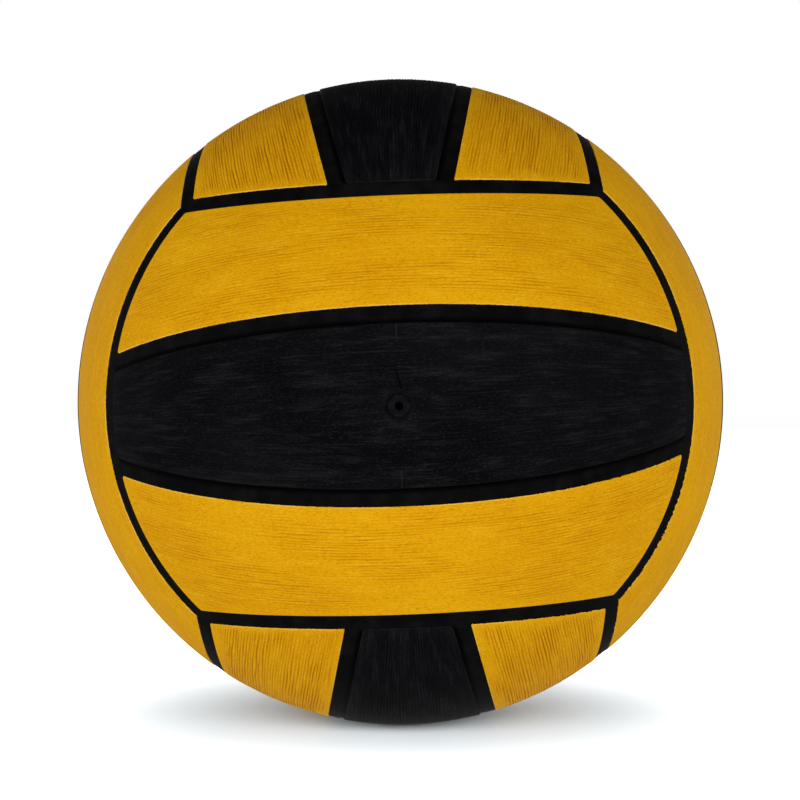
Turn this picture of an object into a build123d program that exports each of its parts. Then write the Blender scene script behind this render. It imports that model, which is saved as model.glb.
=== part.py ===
from build123d import *

import math
import os
from typing import NamedTuple

# Ball, in millimetres, with its centre at the origin, +Z up and the valve facing -Y
BALL_DIAMETER = 220.0

# Layers of the wall, from the outside in, with a film of cement between them
COVER_THICKNESS = 1.1
CARCASS_THICKNESS = 0.55
WINDING_THICKNESS = 0.4
BLADDER_THICKNESS = 0.7
BOND_GAP = 0.05

# Cover panels and the seam channels between them
SEAM_WIDTH = 5.2
SEAM_STRIP_THICKNESS = 0.85
DIVIDER_ANGLE = 13.65
PANEL_CORNER_RADIUS = 1.2
PANEL_EDGE_RADIUS = 0.5

# Valve core: a plug with a head, a neck, a retaining collar and a slit tail
NEEDLE_HOLE_DIAMETER = 2.3
NEEDLE_HOLE_DEPTH = 11.0
NEEDLE_MOUTH_CHAMFER = 0.3
CORE_WALL = 1.15
CORE_HEAD_STEP = 0.8
CORE_HEAD_LENGTH = 2.0
CORE_COLLAR_STEP = 0.9
CORE_COLLAR_LENGTH = 2.0
CORE_TAIL_LENGTH = 3.5
CORE_TRAVEL = 1.0
SLIT_WIDTH = 0.2

# Valve housing: a rim that shows in the panel, a stem, a bonding flange and a pocket for the core
RIM_RECESS = 0.3
CORE_RECESS = 0.25
STEM_WALL = 1.1
NECK_LAND = 4.5
POCKET_WALL = 1.6
POCKET_ROOM = 0.8
POCKET_FLOOR = 1.5
VENT_DIAMETER = 2.5
FLANGE_WIDTH = 8.0
FLANGE_THICKNESS = 1.2
RUNNING_CLEARANCE = 0.06
SEAT_GAP = 0.1

# Round patch that reinforces the bladder around the valve
PATCH_MARGIN = 8.0
PATCH_THICKNESS = 0.7

# Largest share of a wall that a rounded edge may take
EDGE_SHARE = 0.6

# Radii of the wall's layers
BALL_RADIUS = BALL_DIAMETER / 2
COVER_BASE = BALL_RADIUS - COVER_THICKNESS
STRIP_TOP = COVER_BASE + SEAM_STRIP_THICKNESS
CARCASS_TOP = COVER_BASE - BOND_GAP
CARCASS_BASE = CARCASS_TOP - CARCASS_THICKNESS
WINDING_TOP = CARCASS_BASE - BOND_GAP
WINDING_BASE = WINDING_TOP - WINDING_THICKNESS
BLADDER_TOP = WINDING_BASE - BOND_GAP
BLADDER_BASE = BLADDER_TOP - BLADDER_THICKNESS
PATCH_TOP = BLADDER_BASE - BOND_GAP
PATCH_BASE = PATCH_TOP - PATCH_THICKNESS
FLANGE_TOP = PATCH_BASE - BOND_GAP
FLANGE_BASE = FLANGE_TOP - FLANGE_THICKNESS

# Angles at the ball's centre. Six faces that meet three at a corner have their ends on cones
# whose half angle is that of a cube's corner.
FACE_ANGLE = math.degrees(math.acos(1 / math.sqrt(3)))
HALF_SEAM_ANGLE = math.degrees(SEAM_WIDTH / 2 / BALL_RADIUS)
BOND_ANGLE = math.degrees(BOND_GAP / BALL_RADIUS)

# Radii of the valve's steps
NEEDLE_RADIUS = NEEDLE_HOLE_DIAMETER / 2
NECK_RADIUS = NEEDLE_RADIUS + CORE_WALL
HEAD_RADIUS = NECK_RADIUS + CORE_HEAD_STEP
COLLAR_RADIUS = NECK_RADIUS + CORE_COLLAR_STEP
STEM_RADIUS = HEAD_RADIUS + RUNNING_CLEARANCE + STEM_WALL
POCKET_RADIUS = COLLAR_RADIUS + RUNNING_CLEARANCE + POCKET_WALL
FLANGE_RADIUS = POCKET_RADIUS + FLANGE_WIDTH
PATCH_RADIUS = FLANGE_RADIUS + PATCH_MARGIN
STEM_HOLE_RADIUS = STEM_RADIUS + BOND_GAP

# Depths of the valve's steps below the ball's surface, along the valve's axis
HEAD_DEPTH = RIM_RECESS + CORE_RECESS
NECK_DEPTH = HEAD_DEPTH + CORE_HEAD_LENGTH
HEAD_SEAT_DEPTH = NECK_DEPTH + CORE_TRAVEL + SEAT_GAP
CHAMBER_DEPTH = HEAD_SEAT_DEPTH + NECK_LAND
COLLAR_DEPTH = CHAMBER_DEPTH + SEAT_GAP
TAIL_DEPTH = COLLAR_DEPTH + CORE_COLLAR_LENGTH
TAIL_END_DEPTH = TAIL_DEPTH + CORE_TAIL_LENGTH
CHAMBER_END_DEPTH = TAIL_END_DEPTH + CORE_TRAVEL + POCKET_ROOM
POCKET_END_DEPTH = CHAMBER_END_DEPTH + POCKET_FLOOR

# Axes that carry the front face onto the others
CENTRE = (0, 0, 0)
CORNER_AXIS = Axis(CENTRE, (1, 1, 1))
CORNER_TURN = 120
HALF_TURN = 180

# Planes that look out of the front and the top, and the normals of the front's two dividing seams
FRONT = Plane(origin=CENTRE, z_dir=(0, -1, 0))
TOP = Plane(origin=CENTRE, z_dir=(0, 0, 1))
DIVIDER_SLOPE = math.radians(DIVIDER_ANGLE)
DIVIDER_UP = (0, math.sin(DIVIDER_SLOPE), math.cos(DIVIDER_SLOPE))
DIVIDER_DOWN = (0, math.sin(DIVIDER_SLOPE), -math.cos(DIVIDER_SLOPE))


class BallFace(NamedTuple):
    """One of the six faces: its name, how the front is turned onto it, and what its sides are called."""

    name: str
    corner_turns: int
    half_turn_axis: Axis | None
    high_side: str
    low_side: str
    near_end: str
    far_end: str


FACES = (
    BallFace("front", 0, None, "upper", "lower", "left", "right"),
    BallFace("back", 0, Axis.Z, "upper", "lower", "right", "left"),
    BallFace("bottom", 1, None, "right", "left", "front", "rear"),
    BallFace("top", 1, Axis.Y, "left", "right", "front", "rear"),
    BallFace("left", 2, None, "rear", "front", "lower", "upper"),
    BallFace("right", 2, Axis.Z, "front", "rear", "lower", "upper"),
)


def turned(shape, face):
    """The front face's shape, carried onto another face."""
    shape = shape.rotate(CORNER_AXIS, CORNER_TURN * face.corner_turns)
    if face.half_turn_axis:
        shape = shape.rotate(face.half_turn_axis, HALF_TURN)
    return shape


def shell(outer, inner):
    """Hollow ball between two radii."""
    return Sphere(outer) - Sphere(inner)


def cone_space(axis_plane, half_angle):
    """Space inside a cone from the ball's centre, out past its surface, leaving out the cone's tip."""
    low = BALL_RADIUS * math.cos(math.radians(FACE_ANGLE)) / 2
    high = BALL_RADIUS + COVER_THICKNESS
    slope = math.tan(math.radians(half_angle))
    cone = Cone(low * slope, high * slope, high - low, align=(Align.CENTER, Align.CENTER, Align.MIN))
    return axis_plane * Pos(0, 0, low) * cone


def side_of(shape, normal, offset):
    """The part of a shape that lies beyond a plane at some offset from the ball's centre."""
    direction = Vector(*normal).normalized()
    return split(shape, Plane(origin=direction * offset, z_dir=direction), Keep.TOP)


def along_valve(radius, start_depth, end_depth):
    """Round bar on the valve's axis between two depths below the ball's surface."""
    start = Plane(origin=(0, start_depth - BALL_RADIUS, 0), z_dir=(0, 1, 0))
    bar = Cylinder(radius, end_depth - start_depth, align=(Align.CENTER, Align.CENTER, Align.MIN))
    return start * bar


def reversed_way(direction):
    """The opposite direction."""
    return tuple(-part for part in direction)


def spans_wall(edge):
    """Whether an edge runs from a panel's inside to its outside."""
    reach = [(edge @ end).length for end in (0, 1)]
    return max(reach) - min(reach) > COVER_THICKNESS / 2


def on_surface(edge):
    """Whether an edge lies on the ball's outside."""
    return min((edge @ place).length for place in (0, 0.5, 1)) > BALL_RADIUS - COVER_THICKNESS / 2


def with_round_corners(panel):
    """Panel with its corners rounded in plan."""
    return fillet([edge for edge in panel.edges() if spans_wall(edge)], PANEL_CORNER_RADIUS)


def with_round_rim(panel):
    """Panel with every edge on the ball's outside rounded."""
    rim = [edge for edge in panel.edges() if on_surface(edge)]
    return fillet(rim, min(PANEL_EDGE_RADIUS, EDGE_SHARE * COVER_THICKNESS))


def front_cover():
    """The front face's cover, up to the seams at its two ends."""
    return shell(BALL_RADIUS, COVER_BASE) & cone_space(FRONT, FACE_ANGLE - HALF_SEAM_ANGLE)


def outer_panel():
    """The front's upper panel, between a dividing seam and the seam along the top."""
    panel = side_of(front_cover(), DIVIDER_UP, SEAM_WIDTH / 2)
    panel -= cone_space(TOP, FACE_ANGLE + HALF_SEAM_ANGLE)
    return with_round_rim(with_round_corners(panel))


def middle_blank():
    """The front's middle panel, between the two dividing seams, before its rim is rounded."""
    panel = side_of(front_cover(), reversed_way(DIVIDER_UP), SEAM_WIDTH / 2)
    panel = side_of(panel, reversed_way(DIVIDER_DOWN), SEAM_WIDTH / 2)
    return with_round_corners(panel)


def valve_panel(blank):
    """A middle panel with a round opening for the valve's stem."""
    return with_round_rim(blank - along_valve(STEM_HOLE_RADIUS, 0, BALL_RADIUS))


def divider_strip():
    """Strip on the floor of the front's upper dividing seam, up to the edge strips."""
    half_width = SEAM_WIDTH / 2 - BOND_GAP
    strip = shell(STRIP_TOP, COVER_BASE) & cone_space(FRONT, FACE_ANGLE - HALF_SEAM_ANGLE)
    strip = side_of(strip, DIVIDER_UP, -half_width)
    return side_of(strip, reversed_way(DIVIDER_UP), -half_width)


def edge_strip():
    """Strip on the floor of the seam at the front's left end, mitred where three seams meet."""
    half_angle = HALF_SEAM_ANGLE - BOND_ANGLE
    ring = shell(STRIP_TOP, COVER_BASE) & cone_space(FRONT, FACE_ANGLE + half_angle)
    ring = ring - cone_space(FRONT, FACE_ANGLE - half_angle)
    for up in (1, -1):
        ring = side_of(ring, (-1, -1, -2 * up), BOND_GAP / 2)
        ring = side_of(ring, (-2, 1, -up), BOND_GAP / 2)
    return ring


def inner_layer(outer, inner):
    """Closed layer of the wall, with a hole for the valve's stem."""
    return shell(outer, inner) - along_valve(STEM_HOLE_RADIUS, 0, BALL_RADIUS)


def valve_disc(outer, inner, radius):
    """Round piece of a layer, centred on the valve."""
    return shell(outer, inner) & along_valve(radius, 0, BALL_RADIUS)


def valve_patch():
    """Patch between the bladder and the housing's flange."""
    return valve_disc(PATCH_TOP, PATCH_BASE, PATCH_RADIUS) - along_valve(STEM_HOLE_RADIUS, 0, BALL_RADIUS)


def valve_housing():
    """Rim, stem, flange and pocket in one moulding, bored in steps for the core."""
    body = along_valve(STEM_RADIUS, RIM_RECESS, POCKET_END_DEPTH)
    body += valve_disc(FLANGE_TOP, FLANGE_BASE, FLANGE_RADIUS)
    body += along_valve(POCKET_RADIUS, BALL_RADIUS - FLANGE_BASE, POCKET_END_DEPTH)
    body -= along_valve(HEAD_RADIUS + RUNNING_CLEARANCE, 0, HEAD_SEAT_DEPTH)
    body -= along_valve(NECK_RADIUS + RUNNING_CLEARANCE, 0, CHAMBER_DEPTH)
    body -= along_valve(COLLAR_RADIUS + RUNNING_CLEARANCE, CHAMBER_DEPTH, CHAMBER_END_DEPTH)
    return body - along_valve(VENT_DIAMETER / 2, CHAMBER_END_DEPTH, BALL_RADIUS)


def valve_core():
    """Plug that the needle goes through, with a slit that closes behind it."""
    plug = along_valve(NECK_RADIUS, HEAD_DEPTH, TAIL_END_DEPTH)
    plug += along_valve(HEAD_RADIUS, HEAD_DEPTH, NECK_DEPTH)
    plug += along_valve(COLLAR_RADIUS, COLLAR_DEPTH, TAIL_DEPTH)
    hole_end = HEAD_DEPTH + NEEDLE_HOLE_DEPTH
    plug -= along_valve(NEEDLE_RADIUS, HEAD_DEPTH, hole_end)
    slit = Box(NEEDLE_HOLE_DIAMETER, TAIL_END_DEPTH - hole_end, SLIT_WIDTH)
    plug -= Pos(0, (hole_end + TAIL_END_DEPTH) / 2 - BALL_RADIUS, 0) * slit
    mouth = plug.edges().filter_by(GeomType.CIRCLE).group_by(Axis.Y)[0].sort_by(SortBy.RADIUS)[0]
    return chamfer(mouth, NEEDLE_MOUTH_CHAMFER)


def cover_pieces():
    """Every panel and seam strip of the six faces, by name."""
    outer = outer_panel()
    blank = middle_blank()
    middle = with_round_rim(blank)
    divider = divider_strip()
    edge = edge_strip()
    pieces = {}
    for face in FACES:
        for side, flip in ((face.high_side, 0), (face.low_side, HALF_TURN)):
            pieces[f"{face.name}_{side}_panel"] = turned(outer.rotate(Axis.Y, flip), face)
            pieces[f"{face.name}_{side}_divider"] = turned(divider.rotate(Axis.Y, flip), face)
        for end, flip in ((face.near_end, 0), (face.far_end, HALF_TURN)):
            pieces[f"{face.name}_{end}_edge_strip"] = turned(edge.rotate(Axis.Y, flip), face)
        pieces[f"{face.name}_middle_panel"] = turned(middle, face)
    pieces["front_middle_panel"] = valve_panel(blank)
    return pieces


def inner_pieces():
    """The layers under the cover and the valve, by name."""
    return {
        "carcass": inner_layer(CARCASS_TOP, CARCASS_BASE),
        "winding": inner_layer(WINDING_TOP, WINDING_BASE),
        "bladder": inner_layer(BLADDER_TOP, BLADDER_BASE),
        "valve_patch": valve_patch(),
        "valve_housing": valve_housing(),
        "valve_core": valve_core(),
    }


os.makedirs("parts", exist_ok=True)
for node, piece in (cover_pieces() | inner_pieces()).items():
    export_step(piece, f"parts/{node}.step")
    print(node, round(piece.volume, 1), "mm3")
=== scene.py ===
"""Water polo ball: ridged rubber panels, recessed seams and a needle valve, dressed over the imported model."""

import logging
import math
from dataclasses import asdict, dataclass, field
from enum import Enum
from typing import Any

import bmesh
import bpy
import numpy as np
from mathutils import Matrix, Vector


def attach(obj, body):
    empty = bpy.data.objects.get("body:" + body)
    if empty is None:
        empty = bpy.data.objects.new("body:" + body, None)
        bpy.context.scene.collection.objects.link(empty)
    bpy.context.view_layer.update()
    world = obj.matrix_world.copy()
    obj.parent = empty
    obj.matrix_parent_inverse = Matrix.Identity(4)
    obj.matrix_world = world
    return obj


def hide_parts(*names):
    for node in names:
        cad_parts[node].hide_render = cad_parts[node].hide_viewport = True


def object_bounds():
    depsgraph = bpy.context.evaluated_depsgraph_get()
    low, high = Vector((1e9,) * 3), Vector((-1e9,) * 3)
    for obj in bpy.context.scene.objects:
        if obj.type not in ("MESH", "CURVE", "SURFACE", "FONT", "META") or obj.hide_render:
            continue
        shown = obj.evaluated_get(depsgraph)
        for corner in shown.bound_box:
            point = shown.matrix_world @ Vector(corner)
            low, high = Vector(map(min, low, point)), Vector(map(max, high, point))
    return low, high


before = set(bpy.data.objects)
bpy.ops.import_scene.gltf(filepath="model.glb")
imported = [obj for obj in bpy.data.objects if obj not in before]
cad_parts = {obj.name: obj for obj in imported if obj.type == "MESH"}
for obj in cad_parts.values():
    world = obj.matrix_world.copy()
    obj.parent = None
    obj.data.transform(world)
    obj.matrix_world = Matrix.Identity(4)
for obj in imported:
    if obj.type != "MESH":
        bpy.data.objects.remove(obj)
CAD_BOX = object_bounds()

LOG = logging.getLogger("water_polo_ball")
MM = 0.001
EPSILON = 1e-6
FACE_ANGLE = math.acos(1 / math.sqrt(3))

Colour = tuple[float, float, float]
Span = tuple[float, float]
Mesh = bpy.types.Mesh
Object = bpy.types.Object
Array = np.ndarray


class Signal:
    """One socket of a node tree, on which arithmetic adds Math nodes."""

    def __init__(self, graph: "Graph", socket: bpy.types.NodeSocket) -> None:
        """Keeps the socket with the graph that it belongs to."""
        self.graph = graph
        self.socket = socket

    def math(self, operation: str, *values: "Signal | float") -> "Signal":
        """Adds a Math node of this operation on the values."""
        return self.graph.node("ShaderNodeMath", {"operation": operation}, dict(enumerate(values)))

    def __add__(self, other: "Signal | float") -> "Signal":
        """Adds two values."""
        return self.math("ADD", self, other)

    def __sub__(self, other: "Signal | float") -> "Signal":
        """Takes the other value away."""
        return self.math("SUBTRACT", self, other)

    def __rsub__(self, other: float) -> "Signal":
        """Takes this value away from a number."""
        return self.math("SUBTRACT", other, self)

    def __mul__(self, other: "Signal | float") -> "Signal":
        """Multiplies two values."""
        return self.math("MULTIPLY", self, other)

    def __truediv__(self, other: "Signal | float") -> "Signal":
        """Divides by the other value."""
        return self.math("DIVIDE", self, other)

    def __abs__(self) -> "Signal":
        """Gives the size of the value without its sign."""
        return self.math("ABSOLUTE", self)

    def __floor__(self) -> "Signal":
        """Rounds the value down."""
        return self.math("FLOOR", self)

    __radd__ = __add__
    __rmul__ = __mul__

    def rise(self, low: "Signal | float", high: "Signal | float") -> "Signal":
        """Rises smoothly from 0, at and below low, to 1, at and above high."""
        settings = {"interpolation_type": "SMOOTHSTEP"}
        return self.graph.node("ShaderNodeMapRange", settings, {"Value": self, 1: low, 2: high})


class Graph:
    """A node tree that is written as expressions."""

    def __init__(self, tree: bpy.types.NodeTree) -> None:
        """Takes the tree and empties it."""
        self.tree = tree
        tree.nodes.clear()

    def node(
        self,
        kind: str,
        settings: dict[str, Any] | None = None,
        inputs: dict[str | int, Any] | None = None,
        output: str | int = 0,
    ) -> Signal | None:
        """Adds one node.

        Args:
            kind: The node's type.
            settings: The node's own settings, which are made first.
            inputs: Values or links of its sockets, by name or number.
            output: The socket to return.

        Returns:
            The chosen output socket, or None for a node with no outputs.
        """
        node = self.tree.nodes.new(kind)
        for name, value in (settings or {}).items():
            setattr(node, name, value)
        for key, value in (inputs or {}).items():
            if isinstance(value, Signal):
                self.tree.links.new(value.socket, node.inputs[key])
            else:
                node.inputs[key].default_value = value
        return Signal(self, node.outputs[output]) if len(node.outputs) else None

    def vector(self, x: Signal | float, y: Signal | float, z: Signal | float) -> Signal:
        """Joins three values to a vector."""
        return self.node("ShaderNodeCombineXYZ", None, {0: x, 1: y, 2: z})

    def noise(self, place: Signal, scale: float = 1.0, detail: float = 0.0) -> Signal:
        """Gives noise from 0 to 1 at a place, with its waves to the unit and its octaves of finer noise."""
        inputs = {"Vector": place, "Scale": scale, "Detail": detail}
        return self.node("ShaderNodeTexNoise", {"noise_dimensions": "3D"}, inputs)

    def mix(self, share: Signal, first: Signal | Colour, second: Signal | Colour) -> Signal:
        """Mixes two colours.

        Args:
            share: 0 gives the first colour and 1 the second.
            first: Colour or its socket.
            second: Colour or its socket.

        Returns:
            The mixed colour.
        """
        paints = [c if isinstance(c, Signal) else (*c, 1.0) for c in (first, second)]
        inputs = {0: share, 6: paints[0], 7: paints[1]}
        return self.node("ShaderNodeMix", {"data_type": "RGBA"}, inputs, output=2)

    def attribute(self, name: str) -> Signal:
        """Reads a value that the surface carries."""
        return self.node("ShaderNodeAttribute", {"attribute_name": name}, output="Fac")

    def object_place(self) -> Signal:
        """Gives the place on the object, in metres."""
        return self.node("ShaderNodeTexCoord", output="Object")

    def part(self, place: Signal, axis: str) -> Signal:
        """Gives one coordinate of a place that is in metres, in millimetres."""
        return self.node("ShaderNodeSeparateXYZ", None, {0: place}, axis) / MM


@dataclass(frozen=True)
class Gloss:
    """How a rubber shines: its roughness, its refraction and the depth of its grain in millimetres."""

    roughness: float
    ior: float
    grain: float

    def surface(self, graph: Graph, colour: Signal, rough: Signal, bump: Signal) -> None:
        """Ends a material's graph in a rubber surface.

        Args:
            graph: The material's graph.
            colour: Base colour.
            rough: Roughness.
            bump: Height of the finest grain, from 0 to 1.
        """
        height = {"Height": bump, "Strength": 1.0, "Distance": self.grain * MM}
        normal = graph.node("ShaderNodeBump", None, height)
        inputs = {"Base Color": colour, "Roughness": rough, "IOR": self.ior, "Normal": normal}
        shader = graph.node("ShaderNodeBsdfPrincipled", None, inputs)
        graph.node("ShaderNodeOutputMaterial", None, {"Surface": shader})


def new_material(name: str) -> tuple[bpy.types.Material, Graph]:
    """Makes an empty material.

    Args:
        name: The material's name.

    Returns:
        The material and its graph.
    """
    material = bpy.data.materials.new(name)
    material.use_nodes = True
    return material, Graph(material.node_tree)


@dataclass(frozen=True)
class GripRubber:
    """Moulded panel rubber: rubbed body, dust and painted sheen, painted groove shade, painted rim highlight,
    seam border.

    Sizes are lengths along and widths across the panel in millimetres, and scales are waves to the metre.
    """

    name: str
    body: Colour
    worn: Colour
    # Colour of the dust and painted sheen in streaks and pale flecks.
    dust: Colour
    # Colour of the painted shade in the grooves, also that of the dark flecks of grain.
    deep: Colour
    # Colour of the painted highlight along the rounded rim, also that of the parting line.
    edge: Colour
    border: Colour
    gloss: Gloss
    groove_share: float = 0.95
    dust_share: float = 0.35
    pale_share: float = 0.6
    fleck_share: float = 0.42
    edge_share: float = 0.6
    border_rag: float = 0.3
    parting_share: float = 0.5
    streak_size: Span = (8.0, 0.5)
    band_size: Span = (15.0, 2.6)
    fleck_size: Span = (0.9, 0.3)
    cloud_scale: float = 26.0
    edge_scale: float = 60.0
    parting_scale: float = 260.0
    rag_scale: float = 1200.0
    grain_scale: float = 2600.0
    parting_width: Span = (0.1, 0.32)
    parting_end: Span = (3.5, 6.5)
    valve_clear: Span = (12.0, 14.0)
    ragged_right: Span = (20.0, 60.0)
    ragged_low: Span = (10.0, 40.0)
    least_rag: float = 0.25

    def material(self) -> bpy.types.Material:
        """Makes the material.

        Returns:
            A material that reads the along, across, rim and groove values of a panel.
        """
        material, graph = new_material(self.name)
        place = graph.object_place()
        rim, groove = graph.attribute("rim"), graph.attribute("groove")
        cloud = graph.noise(place, self.cloud_scale, 3)
        sizes = ((self.streak_size, 8.1), (self.band_size, 1.3), (self.fleck_size, 3.7))
        streak, band, fleck = (self._spots(graph, size, seed) for size, seed in sizes)
        colour = graph.mix(cloud.rise(0.35, 0.7), self.body, self.worn)
        # Dust and painted sheen: lighter streaks along the panel, and pale flecks.
        dust_and_sheen_streaks = (streak.rise(0.45, 0.75) + band.rise(0.45, 0.75) * 0.5) * band.rise(0.35, 0.6)
        pale = (1 - fleck.rise(0.22, 0.48)) * self.pale_share
        colour = graph.mix(dust_and_sheen_streaks * self.dust_share + pale, colour, self.dust)
        colour = graph.mix(fleck.rise(0.52, 0.80) * self.fleck_share, colour, self.deep)
        # Painted shade in the grooves and along the valve crease, taken from the carried groove value.
        colour = graph.mix(groove * self.groove_share, colour, self.deep)
        colour = graph.mix(self._parting(graph, rim), colour, self.edge)
        # Painted highlight: a pale line, in patches, along the panel's rounded rim.
        patches = graph.noise(place, self.edge_scale, 1).rise(0.35, 0.6)
        painted_edge_highlight = rim.rise(0.03, 0.14) * (1 - rim.rise(0.22, 0.45)) * patches
        colour = graph.mix(painted_edge_highlight * self.edge_share, colour, self.edge)
        colour = graph.mix(self._border(graph, rim), colour, self.border)
        rough = self.gloss.roughness + (cloud - 0.5) * 0.16 + groove * 0.08
        self.gloss.surface(graph, colour, rough, graph.noise(place, self.grain_scale, 2))
        return material

    def _spots(self, graph: Graph, size: Span, seed: float) -> Signal:
        """Gives noise in spots of one length along and width across the panel."""
        along, across = graph.attribute("along"), graph.attribute("across")
        return graph.noise(graph.vector(along / size[0], across / size[1], seed), 1, 2)

    def _parting(self, graph: Graph, rim: Signal) -> Signal:
        """Gives the share of the mould's parting line, which shows near a panel's rim and not by the valve.

        Args:
            graph: The material's graph.
            rim: Distance from the panel's rim in millimetres.

        Returns:
            1 on the line and 0 beside it.
        """
        place = graph.object_place()
        line = 1 - abs(graph.part(place, "X")).rise(*self.parting_width)
        broken = graph.noise(place, self.parting_scale, 1).rise(0.3, 0.5)
        shown = (1 - rim.rise(*self.parting_end)) * abs(graph.part(place, "Z")).rise(*self.valve_clear)
        return line * broken * shown * self.parting_share

    def _border(self, graph: Graph, rim: Signal) -> Signal:
        """Gives the share of seam rubber at a panel's foot, which laps over the edges low on the right.

        Args:
            graph: The material's graph.
            rim: Distance from the panel's rim in millimetres.

        Returns:
            1 on the border and 0 on the panel.
        """
        place = graph.object_place()
        right = graph.part(place, "X").rise(*self.ragged_right)
        low = (0 - graph.part(place, "Z")).rise(*self.ragged_low)
        run = self.least_rag + right * low * (1 - self.least_rag)
        rag = graph.noise(place, self.rag_scale, 1).rise(0.3, 0.75) * run * self.border_rag
        return 1 - (rim - rag).rise(0.0, 0.1)


@dataclass(frozen=True)
class PlainRubber:
    """Rubber of one colour with the clouding, creases and grain of a moulded or hand-laid surface, and painted
    shade in its creases.
    """

    name: str
    body: Colour
    worn: Colour
    gloss: Gloss
    cloud_scale: float = 60.0
    grain_scale: float = 2200.0
    # Share and lightness of the painted shade in the creases.
    crease_share: float = 0.95
    crease_light: float = 0.1

    def material(self) -> bpy.types.Material:
        """Makes the material, which reads the place on the object and the groove values, if there are any, that
        darken it as painted shade.
        """
        material, graph = new_material(self.name)
        place = graph.object_place()
        cloud = graph.noise(place, self.cloud_scale, 3)
        grain = graph.noise(place, self.grain_scale, 2)
        colour = graph.mix(cloud.rise(0.35, 0.75), self.body, self.worn)
        # Painted shade in creases and recesses, taken from the groove value.
        crease = graph.attribute("groove") * self.crease_share
        colour = graph.mix(crease, colour, tuple(self.crease_light * part for part in self.body))
        rough = self.gloss.roughness + (cloud - 0.5) * 0.2
        self.gloss.surface(graph, colour, rough, grain)
        return material


@dataclass(frozen=True)
class ThreadWinding:
    """Nylon thread wound round the ball in many directions."""

    name: str
    thread: Colour
    shade: Colour
    gloss: Gloss
    thread_pitch: float = 0.9
    turns: tuple[tuple[float, float, float], ...] = ((0.4, 0.2, 0.0), (1.5, 0.7, 1.1), (2.4, 1.9, 0.3))

    def material(self) -> bpy.types.Material:
        """Makes the material: three crossing layers of thread."""
        material, graph = new_material(self.name)
        place = graph.object_place()
        height = graph.noise(place, 200, 1) * 0.2
        for turn in self.turns:
            turned = graph.node("ShaderNodeMapping", None, {"Vector": place, "Rotation": turn})
            inputs = {"Vector": turned, "Scale": 1 / (self.thread_pitch * MM * 20), "Distortion": 0.4}
            height = height.math("MAXIMUM", height, graph.node("ShaderNodeTexWave", None, inputs, "Fac"))
        colour = graph.mix(height, self.shade, self.thread)
        self.gloss.surface(graph, colour, self.gloss.roughness + height * 0.1, height)
        return material


class Paint(Enum):
    """The finishes of the ball, by the part of it that they dress."""

    # Each panel's colours include the painted shade of its grooves, the dust and painted sheen of its streaks
    # and flecks, and the painted highlight along its rim.
    YELLOW_PANEL = GripRubber(
        "yellow_grip_rubber",
        body=(0.652, 0.299, 0.0018),
        worn=(0.701, 0.341, 0.0026),
        dust=(0.805, 0.452, 0.0120),
        deep=(0.300, 0.076, 0.0008),
        edge=(0.830, 0.560, 0.1200),
        border=(0.0030, 0.0026, 0.0022),
        gloss=Gloss(roughness=0.6, ior=1.06, grain=0.02),
        pale_share=0.8,
        fleck_share=0.6,
        parting_share=0.1,
    )
    BLACK_PANEL = GripRubber(
        "black_grip_rubber",
        body=(0.0020, 0.0018, 0.0025),
        worn=(0.0036, 0.0033, 0.0043),
        dust=(0.0138, 0.0131, 0.0158),
        deep=(0.0008, 0.0007, 0.0011),
        edge=(0.0180, 0.0175, 0.0190),
        border=(0.0012, 0.0011, 0.0011),
        gloss=Gloss(roughness=0.6, ior=1.06, grain=0.02),
        dust_share=0.6,
        pale_share=0.8,
        edge_share=0.3,
        border_rag=0.1,
    )
    SEAM = PlainRubber(
        "seam_rubber", (0.0025, 0.0024, 0.0025), (0.0055, 0.0054, 0.0056), Gloss(0.55, 1.05, 0.05), 160, 900
    )
    VALVE = PlainRubber(
        "valve_rubber", (0.0040, 0.0038, 0.0047), (0.0100, 0.0096, 0.0110), Gloss(0.55, 1.06, 0.03), 420, 1600
    )
    CARCASS = PlainRubber(
        "carcass_rubber", (0.012, 0.011, 0.010), (0.024, 0.022, 0.020), Gloss(0.7, 1.4, 0.04)
    )
    BLADDER = PlainRubber(
        "bladder_butyl", (0.016, 0.016, 0.017), (0.032, 0.032, 0.034), Gloss(0.42, 1.45, 0.01)
    )
    WINDING = ThreadWinding("nylon_thread", (0.74, 0.72, 0.66), (0.30, 0.28, 0.24), Gloss(0.6, 1.45, 0.25))


@dataclass
class Palette:
    """Makes each finish once and gives it out."""

    made: dict[Paint, bpy.types.Material] = field(default_factory=dict)

    def of(self, paint: Paint) -> bpy.types.Material:
        """Gives the material of a finish."""
        if paint not in self.made:
            self.made[paint] = paint.value.material()
        return self.made[paint]


@dataclass(frozen=True)
class BallSizes:
    """Sizes of the ball in millimetres, as its solids have them."""

    radius: float
    cover_thickness: float = 1.1
    strip_thickness: float = 0.85
    seam_width: float = 5.2
    bond_gap: float = 0.05
    divider_angle: float = math.radians(13.65)
    corner_radius: float = 1.2
    shoulder: float = 0.5
    valve_opening: float = 4.31

    @classmethod
    def from_frame(cls) -> "BallSizes":
        """Reads the ball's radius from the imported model's box, to a tenth of a millimetre."""
        low, high = CAD_BOX
        return cls(radius=round((high.z - low.z) / 2 / MM, 1))

    @property
    def base(self) -> float:
        """Radius at which the cover is bonded to the carcass."""
        return self.radius - self.cover_thickness

    @property
    def channel_floor(self) -> float:
        """Radius of the seam strips' upper face."""
        return self.base + self.strip_thickness

    @property
    def half_seam(self) -> float:
        """Half the width of a channel."""
        return self.seam_width / 2


class PatchKind(Enum):
    """The four-sided patches that one face of the ball is divided into."""

    OUTER = "outer panel"
    MIDDLE = "middle panel"
    DIVIDER = "dividing strip"
    EDGE = "edge strip"


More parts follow.
